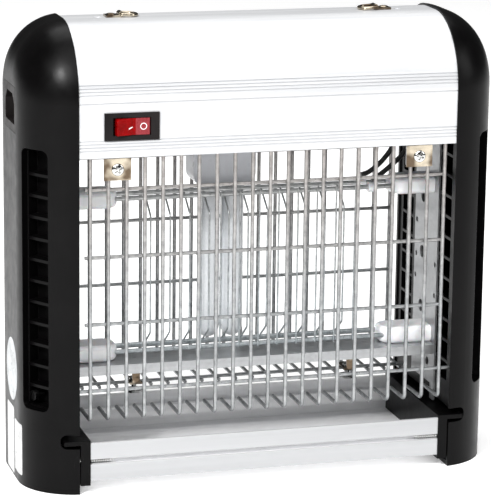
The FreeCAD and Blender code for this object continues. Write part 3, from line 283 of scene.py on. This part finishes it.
def rocker_red(name):
    """Translucent red moulding, frosted on the half with the ring mark; the deep red runs a little past the
    ridge as painted shade along the ridge.
    """
    look = Look(name, IOR=1.16, Transmission_Weight=0.1)
    low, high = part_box("switch_rocker")
    middle = (low.x + high.x) / 2
    # Painted shade: the split between deep and frosted red sits 1.4 to 1.6 mm past the middle, so the deep
    # red also covers the ridge's shade.
    frosted_after_painted_ridge_shade = look.spread(look.axis("X"), middle + 1.4 * MM, middle + 1.6 * MM, 0.0, 1.0)
    deep_red_and_ridge_shade = look.blend(look.noise(220, 3), (0.15, 0.0004, 0.0007), (0.27, 0.0008, 0.0014))
    frosted = look.blend(look.noise(1300, 4), (0.19, 0.020, 0.026), (0.29, 0.046, 0.052))
    look.colour(look.over(frosted_after_painted_ridge_shade, deep_red_and_ridge_shade, frosted))
    look.roughness(look.noise(600, 3), 0.14, 0.34)
    look.relief(look.noise(2200, 2), 0.01 * MM, 0.25 * MM)
    return look


def paper_label(name, face, mark):
    """A blank glossy sticker with faint handling marks."""
    look = Look(name, Coat_Weight=0.5, Coat_Roughness=0.2)
    look.colour(look.blend(look.noise(110, 5), face, mark, 0.35, 0.75))
    look.roughness(look.noise(350, 3), 0.25, 0.45)
    look.relief(look.noise(900, 3), 0.01 * MM)
    return look


LOOKS = {
    "black_abs": moulded("black_abs", (0.0010, 0.0009, 0.0010), (0.0022, 0.0020, 0.0021), 0.29, 0.38,
                         0.008 * MM, 1.2),
    "profile_aluminium": anodised("profile_aluminium"),
    "guard_zinc": zinc_wire("guard_zinc", (0.25, 0.26, 0.265), (0.42, 0.43, 0.435)),
    "grid_zinc": zinc_wire("grid_zinc", (0.30, 0.33, 0.345), (0.54, 0.575, 0.59)),
    "galvanised_sheet": galvanised("galvanised_sheet", 0.60),
    "nickel_plate": plated("nickel_plate", (0.13, 0.095, 0.065), (0.58, 0.51, 0.40), 0.08, 0.2, 0.6 * MM),
    "bright_screw": plated("bright_screw", (0.50, 0.50, 0.49), (0.66, 0.66, 0.65), 0.08, 0.2),
    "black_screw": plated("black_screw", (0.02, 0.02, 0.02), (0.06, 0.06, 0.06), 0.25, 0.45),
    "insulator_white": glazed("insulator_white"),
    "lamp_coated_glass": coated_glass("lamp_coated_glass"),
    "lamp_base_grey": moulded("lamp_base_grey", (0.50, 0.51, 0.54), (0.60, 0.61, 0.64), 0.25, 0.38,
                              0.01 * MM, 1.45, 0.3),
    "brass_contact": plated("brass_contact", (0.62, 0.44, 0.17), (0.82, 0.66, 0.34), 0.15, 0.32),
    "copper_winding": wound("copper_winding"),
    "board_green": circuit("board_green"),
    "capacitor_blue": moulded("capacitor_blue", (0.02, 0.05, 0.25), (0.04, 0.09, 0.36), 0.15, 0.3,
                              0.008 * MM, 1.45, 0.4),
    "lead_black": moulded("lead_black", (0.006, 0.006, 0.006), (0.014, 0.014, 0.014), 0.3, 0.5,
                          0.015 * MM),
    "fitting_black": moulded("fitting_black", (0.008, 0.007, 0.007), (0.018, 0.016, 0.016), 0.28, 0.42,
                             0.008 * MM, 1.14),
    "rocker_red": rocker_red("rocker_red"),
}

# Finishes of small pieces that aren't in the record.
EXTRA_LOOKS = {
    "label_silver": paper_label("label_silver", (0.27, 0.29, 0.30), (0.50, 0.53, 0.55)),
    "label_white": paper_label("label_white", (0.44, 0.44, 0.44), (0.62, 0.63, 0.63)),
    "mark_white": paper_label("mark_white", (0.80, 0.78, 0.78), (0.92, 0.91, 0.91)),
}


def paint(item, look):
    item.data.materials.clear()
    item.data.materials.append(look.material)


for part in frame["record"]["subparts"]:
    paint(CAD[part["node"]], LOOKS[part["material_slot"]])

# The tray and the support strips take a version of their slot's finish of their own.
paint(CAD["tray_channel"], tray_extrusion("tray_aluminium"))
strip_look = galvanised("strip_galvanised", 0.40)
for strip in ("left_support_strip", "right_support_strip"):
    paint(CAD[strip], strip_look)


# ---- pieces --------------------------------------------------------------------------------------

def piece(name, vertices, faces, body, slot_name, look=None, smooth=True):
    """A mesh that rides on a CAD body, with the finish of one of the record's slots unless a look of its own
    is given.
    """
    mesh = bpy.data.meshes.new(name)
    mesh.from_pydata([tuple(v) for v in vertices], [], [list(f) for f in faces])
    mesh.validate()
    mesh.update()
    if smooth:
        mesh.shade_smooth()
        mesh.set_sharp_from_angle(angle=math.radians(38))
    item = bpy.data.objects.new(name, mesh)
    bpy.context.scene.collection.objects.link(item)
    paint(item, look or LOOKS[slot_name])
    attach(item, body)
    return item


def around(count):
    """Evenly spaced angles round a full turn."""
    return np.linspace(0, 2 * math.pi, count, endpoint=False)


class Shell:
    """Vertices and faces gathered from several surfaces into one mesh."""

    def __init__(self):
        self.vertices = []
        self.faces = []

    def grid(self, rows, capped=True):
        """Joins closed rows of points into a tube, and closes its two ends."""
        first = len(self.vertices)
        count = len(rows[0])
        for row in rows:
            self.vertices += [Vector(point) for point in row]
        for i in range(len(rows) - 1):
            for j in range(count):
                a = first + i * count + j
                b = first + i * count + (j + 1) % count
                self.faces.append((a, b, b + count, a + count))
        if capped:
            self.faces.append(tuple(range(first + count - 1, first - 1, -1)))
            last = first + (len(rows) - 1) * count
            self.faces.append(tuple(range(last, last + count)))

    def lathe(self, profile, centre, axis, segments=32):
        """A solid of revolution from (distance along the axis, radius) pairs."""
        turn = Vector((0, 0, 1)).rotation_difference(Vector(axis)).to_matrix()
        rows = []
        for along, radius in profile:
            rows.append([Vector(centre) + turn @ Vector((radius * math.cos(t), radius * math.sin(t), along))
                         for t in around(segments)])
        self.grid(rows)

    def disc(self, rings, centre, axis, segments, height, spin=0.0):
        """Rings about an axis, lifted to height(x, y, radius), from the rim of a head to its middle."""
        turn = Vector((0, 0, 1)).rotation_difference(Vector(axis)).to_matrix() @ Matrix.Rotation(spin, 3, "Z")
        rows = []
        for radius in rings:
            row = []
            for t in around(segments):
                x, y = radius * math.cos(t), radius * math.sin(t)
                row.append(Vector(centre) + turn @ Vector((x, y, height(x, y, radius))))
            rows.append(row)
        self.grid(rows)

    def piece(self, name, body, slot_name, look=None):
        return piece(name, self.vertices, self.faces, body, slot_name, look)


def phillips_head(shell, centre, axis, radius, painted_reflection_rise, spin):
    """A domed pan head with a cross recess."""
    arm, half = radius * 0.62, radius * 0.15
    recess_wall = radius * 0.06
    recess_depth = painted_reflection_rise * 0.75

    def height(x, y, ring):
        if ring > radius * 1.0001:
            return 0.0
        part = ring / radius
        dome = painted_reflection_rise * (1.0 - 0.45 * part ** 2 - 0.35 * part ** 12)
        x, y = abs(x), abs(y)
        painted_bounce_inside = max(min(arm - x, half - y), min(arm - y, half - x))
        return dome - recess_depth * min(max(painted_bounce_inside / recess_wall, 0.0), 1.0)

    rings = [radius * 1.001] + [radius * k for k in np.linspace(1.0, 0.02, 30)]
    shell.disc(rings, centre, axis, 72, height, spin)


# ---- screws, rivets and welds --------------------------------------------------------------------

def guard_clip_screws():
    """A cross-recessed screw through each of the four guard clips."""
    shell = Shell()
    low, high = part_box("guard_clip_screws")
    clip_low, clip_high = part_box("guard_clips")
    head, shank = 3.4 * MM, 1.35 * MM
    profile = [(-6.5 * MM, 1.0 * MM), (-6.0 * MM, shank), (0.1 * MM, shank)]
    for i, x in enumerate((low.x + head, high.x - head)):
        for j, way in enumerate((-1, 1)):
            face, tip = (clip_low.y, low.y) if way < 0 else (clip_high.y, high.y)
            seat, axis = (x, face, (low.z + high.z) / 2), (0, way, 0)
            phillips_head(shell, seat, axis, head, abs(tip - face), 0.5 + i * 0.7 + j)
            shell.lathe(profile, seat, axis, 20)
    made = shell.piece("clip_phillips_screws", "root", "bright_screw")
    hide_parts("guard_clip_screws")


def coarse_thread(shell, seat, way, length):
    """A screw's thread and tapered point, running from its seat towards the middle of the tray."""
    core, crest, pitch = 1.25 * MM, 1.8 * MM, 1.25 * MM
    point = 3.0 * MM
    steps = 150
    rows = []
    for k in range(steps + 1):
        along = length * k / steps
        taper = min(1.0, (length - along) / point + 0.25)
        row = []
        for t in around(20):
            phase = (along / pitch - t / (2 * math.pi)) % 1.0
            ridge = max(0.0, 1.0 - abs(phase - 0.5) * 3.4)
            radius = (core + (crest - core) * ridge) * taper
            row.append(seat + Vector((-along * way, radius * math.cos(t) * way, radius * math.sin(t))))
        rows.append(row)
    shell.grid(rows)


def tray_screws():
    """Self-tapping screws: a cross-recessed head sunk in each tray end and a coarse thread in the channel."""
    shell = Shell()
    low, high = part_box("tray_screws")
    head, head_height = 3.2 * MM, 1.5 * MM
    middle = (low.z + high.z) / 2
    for i, way in enumerate((-1, 1)):
        for j, y in enumerate((low.y + head, high.y - head)):
            seat = Vector((high.x * way - head_height * way, y, middle))
            phillips_head(shell, seat, (way, 0, 0), head, head_height, 0.4 + i + j)
            coarse_thread(shell, seat, way, 17.0 * MM)
    made = shell.piece("threaded_tray_screws", "tray", "bright_screw")
    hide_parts("tray_screws")


def hang_rivets():
    """Domed rivets that hold the two hanging brackets."""
    shell = Shell()
    low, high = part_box("hang_rivets")
    head, shank = 2.5 * MM, 1.5 * MM
    profile = [(-3.0 * MM, shank), (-0.95 * MM, shank), (-0.9 * MM, head * 0.96), (-0.65 * MM, head),
               (-0.3 * MM, head * 0.86), (-0.08 * MM, head * 0.5), (0, head * 0.12)]
    for x in (low.x + head, high.x - head):
        shell.lathe(profile, (x, 0, high.z), (0, 0, 1), 36)
    made = shell.piece("domed_hang_rivets", "root", "nickel_plate")
    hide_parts("hang_rivets")


# The guards' mesh, as in the CAD: heights of the level bars, pitch of the uprights, plane of the wires.
GUARD_TOP_BAR = 0.1676
GUARD_BAR_DROP = 0.03705
GUARD_BARS = [GUARD_TOP_BAR - GUARD_BAR_DROP * i for i in range(4)]
GUARD_WIRES = 21
GUARD_PITCH = 10.0 * MM
GUARD_PLANE = 44.4 * MM
BAR_STEP = 1.85 * MM
FRONT_GUARD_SHIFT = 0.6 * MM


def guard_welds(name, way, shift):
    """Flattened weld nuggets where the upright wires cross the level ones."""
    shell = Shell()
    y = (GUARD_PLANE - BAR_STEP * 0.5) * way
    for z in GUARD_BARS:
        for i in range(GUARD_WIRES):
            x = GUARD_PITCH * (i - GUARD_WIRES // 2) + shift
            uneven = 1.0 + 0.10 * math.sin(i * 2.7 + z * 900)
            waist, belly = 1.0 * MM * uneven, 1.3 * MM * uneven
            profile = [(-1.05 * MM, 0.55 * MM), (-0.7 * MM, waist), (0, belly), (0.7 * MM, waist),
                       (1.05 * MM, 0.5 * MM)]
            shell.lathe(profile, (x, y, z), (0, 1, 0), 12)
    shell.piece(name, "root", "guard_zinc")


# ---- stickers on the left cover ------------------------------------------------------------------

COVER_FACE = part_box("left_end_cover")[0].x
CORNER_RADIUS = 32.0 * MM
CORNER_START = 16.2 * MM


def cover_wall(along, height, out):
    """A point on the left cover: along runs forwards from the middle of its end face, round the corner."""
    if along <= CORNER_START:
        return Vector((COVER_FACE - out, -along, height))
    turn = (along - CORNER_START) / CORNER_RADIUS
    axis_x = COVER_FACE + CORNER_RADIUS
    return Vector((axis_x - (CORNER_RADIUS + out) * math.cos(turn),
                   -CORNER_START - (CORNER_RADIUS + out) * math.sin(turn), height))


def sticker(name, outline, look):
    """A thin blank sticker with a soft rim, laid on the cover wall."""
    middle = sum((Vector(point) for point in outline), Vector((0, 0))) / len(outline)
    steps = [(1.0, -0.05 * MM), (1.0, 0.05 * MM), (0.985, 0.09 * MM)]
    steps += [(k, 0.10 * MM) for k in (0.93, 0.8, 0.6, 0.4, 0.2, 0.03)]
    shell = Shell()
    rows = []
    for scale, out in steps:
        rows.append([cover_wall(*(middle + (Vector(point) - middle) * scale), out) for point in outline])
    shell.grid(rows)
    shell.piece(name, "root", "black_abs", look)


def oval(along, height, half_along, half_height):
    return [(along + half_along * math.cos(t), height + half_height * math.sin(t)) for t in around(72)]


def rounded_rectangle(start, end, low, high, radius=1.5 * MM):
    """An outline with round corners, and points close enough together to follow the cover."""
    points = []
    for cx, cy, first in ((end - radius, high - radius, 0), (start + radius, high - radius, 90),
                          (start + radius, low + radius, 180), (end - radius, low + radius, 270)):
        for step in range(9):
            t = math.radians(first + step * 11.25)
            points.append((cx + radius * math.cos(t), cy + radius * math.sin(t)))
    spacing = 1.5 * MM
    dense = []
    for a, b in zip(points, points[1:] + points[:1]):
        parts = max(1, int((Vector(b) - Vector(a)).length / spacing))
        dense += [tuple(Vector(a).lerp(Vector(b), k / parts)) for k in range(parts)]
    return dense


# ---- switch marks --------------------------------------------------------------------------------

# The rocker at rest, with its right half pressed. The ridge and the left edge are (x, y) from the hinge,
# and the right half's face is a y in the CAD frame.
ROCKER_RIDGE = Vector((0.455 * MM, -3.167 * MM))
ROCKER_LEFT_EDGE = Vector((-8.68 * MM, -5.785 * MM))
ROCKER_RIGHT_FACE = -48.169 * MM
DASH_OUTLINE = ((-1, -0.7), (-0.93, -1), (0.93, -1), (1, -0.7), (1, 0.7), (0.93, 1), (-0.93, 1), (-1, 0.7))


def rocker_marks():
    """The dash and the ring moulded on the two halves of the rocker."""
    hinge = Vector(next(joint["pos_m"] for joint in frame["record"]["behaviour"]["joints"]
                        if joint["name"] == "switch_rock"))
    slope = (ROCKER_LEFT_EDGE - ROCKER_RIDGE).normalized()
    lift = Vector((-slope.y, slope.x)) * 0.09 * MM

    def on_left(x, z, out):
        run = ROCKER_RIDGE + slope * (-x) + lift * out
        return Vector((hinge.x + run.x, hinge.y + run.y, hinge.z + z))

    dash = Shell()
    dash_x, dash_drop = -1.5 * MM, 0.7 * MM
    half_length, half_width, slant = 1.1 * MM, 0.30, 0.45
    rows = []
    for scale, out in ((1.0, -0.5), (1.0, 0.8), (0.9, 1.0), (0.1, 1.0)):
        rows.append([on_left(dash_x + half_length * scale * cx,
                             (half_width * cz + slant * cx) * MM * scale - dash_drop, out)
                     for cx, cz in DASH_OUTLINE])
    dash.grid(rows)
    dash.piece("rocker_dash_mark", "rocker", "rocker_red", EXTRA_LOOKS["mark_white"])

    ring = Shell()
    ring_x = hinge.x + 6.2 * MM
    rows = []
    for radius, out in ((1.45, -0.06), (1.45, 0.06), (1.53, 0.09), (1.77, 0.09), (1.85, 0.06), (1.85, -0.06)):
        rows.append([(ring_x + radius * MM * math.cos(t), ROCKER_RIGHT_FACE - out * MM,
                      hinge.z + radius * MM * math.sin(t)) for t in around(48)])
    ring.grid(rows, capped=False)
    ring.piece("rocker_ring_mark", "rocker", "rocker_red", EXTRA_LOOKS["mark_white"])


# ---- lamp ----------------------------------------------------------------------------------------

def lamp_collars():
    """Rolled collars where the two tubes are cemented into the lamp base."""
    low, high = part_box("lamp_tubes")
    base_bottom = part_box("lamp_base")[0].z
    tube = 6.3 * MM
    profile = [(0.2 * MM, tube + 0.5 * MM), (-0.6 * MM, tube + 0.75 * MM), (-1.3 * MM, tube + 0.6 * MM),
               (-1.7 * MM, tube + 0.05 * MM)]
    shell = Shell()
    for x in (low.x + tube, high.x - tube):
        shell.lathe(profile, (x, (low.y + high.y) / 2, base_bottom), (0, 0, 1), 48)
    shell.piece("lamp_tube_collars", "root", "lamp_base_grey")


guard_clip_screws()
tray_screws()
hang_rivets()
guard_welds("front_guard_welds", -1, FRONT_GUARD_SHIFT)
guard_welds("rear_guard_welds", 1, 0.0)
sticker("oval_sticker", oval(1.4 * MM, 60.4 * MM, 14.4 * MM, 17.6 * MM), EXTRA_LOOKS["label_silver"])
sticker("plain_side_sticker", rounded_rectangle(-11.6 * MM, 6.5 * MM, 1.3 * MM, 39.3 * MM),
        EXTRA_LOOKS["label_white"])
sticker("plain_corner_sticker", rounded_rectangle(8.5 * MM, 24.0 * MM, 5.2 * MM, 34.2 * MM),
        EXTRA_LOOKS["label_white"])
rocker_marks()
lamp_collars()


# ---- camera, lights and floor --------------------------------------------------------------------

# The camera as fitted to the photo: angles in radians, lens and sensor in millimetres.
CAMERA_PLACE = Vector((-0.405258, -1.399457, 0.464407))
CAMERA_YAW = 0.281695
CAMERA_PITCH = 0.232136
CAMERA_ROLL = 0.012569
CAMERA_LENS = 192.195864
CAMERA_SENSOR = 36.0
LIGHT_TARGET = Vector((0, 0, 0.13))
FLOOR_HALF = 6.0
FLOOR_LEVEL = -0.0002


def add_camera():
    forward = Vector((math.sin(CAMERA_YAW) * math.cos(CAMERA_PITCH),
                      math.cos(CAMERA_YAW) * math.cos(CAMERA_PITCH), -math.sin(CAMERA_PITCH)))
    level = Vector((math.cos(CAMERA_YAW), -math.sin(CAMERA_YAW), 0))
    above = level.cross(forward)
    right = level * math.cos(CAMERA_ROLL) + above * math.sin(CAMERA_ROLL)
    up = above * math.cos(CAMERA_ROLL) - level * math.sin(CAMERA_ROLL)
    camera = bpy.data.objects.new("camera", bpy.data.cameras.new("camera"))
    camera.data.lens = CAMERA_LENS
    camera.data.sensor_width = CAMERA_SENSOR
    camera.data.clip_start = 0.05
    camera.data.clip_end = 50.0
    camera.matrix_world = Matrix((
        (right.x, up.x, -forward.x, CAMERA_PLACE.x),
        (right.y, up.y, -forward.y, CAMERA_PLACE.y),
        (right.z, up.z, -forward.z, CAMERA_PLACE.z),
        (0, 0, 0, 1),
    ))
    bpy.context.scene.collection.objects.link(camera)
    bpy.context.scene.camera = camera


def add_light(name, place, size, power):
    """A soft rectangular lamp that faces the object."""
    lamp = bpy.data.lights.new(name, "AREA")
    lamp.shape = "RECTANGLE"
    lamp.size, lamp.size_y = size
    lamp.energy = power
    item = bpy.data.objects.new(name, lamp)
    item.location = place
    item.rotation_euler = (LIGHT_TARGET - Vector(place)).to_track_quat("-Z", "Y").to_euler()
    bpy.context.scene.collection.objects.link(item)


def add_floor():
    """A plain pale floor with a slight glow of its own."""
    half, level = FLOOR_HALF, FLOOR_LEVEL
    mesh = bpy.data.meshes.new("floor")
    mesh.from_pydata([(-half, -half, level), (half, -half, level), (half, half, level), (-half, half, level)],
                     [], [(0, 1, 2, 3)])
    floor = bpy.data.objects.new("floor", mesh)
    look = Look("floor", Specular_IOR_Level=0.1, Emission_Color=(1, 1, 1, 1), Emission_Strength=0.30)
    look.colour(look.blend(look.noise(3, 2), (0.90, 0.90, 0.90), (0.92, 0.92, 0.92)))
    look.roughness(look.noise(5, 2), 0.7, 0.8)
    paint(floor, look)
    bpy.context.scene.collection.objects.link(floor)


def add_world(front, back):
    """Dim world light, brighter behind the object than behind the camera, in Blender's default dark grey."""
    world = bpy.data.worlds.new("studio")
    world.use_nodes = True
    nodes, links = world.node_tree.nodes, world.node_tree.links
    place = nodes.new("ShaderNodeTexCoord")
    split = nodes.new("ShaderNodeSeparateXYZ")
    links.new(place.outputs["Generated"], split.inputs["Vector"])

    ramp = nodes.new("ShaderNodeMapRange")
    for socket, value in (("From Min", -0.6), ("From Max", 0.8), ("To Min", front), ("To Max", back)):
        ramp.inputs[socket].default_value = value
    links.new(split.outputs["Y"], ramp.inputs["Value"])
    links.new(ramp.outputs["Result"], nodes["Background"].inputs["Strength"])
    bpy.context.scene.world = world


def add_sun(direction, strength, spread):
    """A broad sun from the front and above."""
    lamp = bpy.data.lights.new("sun", "SUN")
    lamp.energy = strength
    lamp.angle = math.radians(spread)
    item = bpy.data.objects.new("sun", lamp)
    item.rotation_euler = Vector(direction).to_track_quat("-Z", "Y").to_euler()
    bpy.context.scene.collection.objects.link(item)


add_camera()
add_floor()
add_world(0.50, 1.35)
add_sun((0.22, 0.75, -1.0), 2.0, 60)
add_light("key", (-1.15, -1.25, 1.35), (0.16, 0.30), 46)
add_light("fill", (1.4, -0.9, 0.9), (0.8, 1.0), 8)
add_light("top", (0.1, 0.5, 1.5), (1.4, 0.8), 12)
bpy.context.scene.view_settings.view_transform = "Standard"
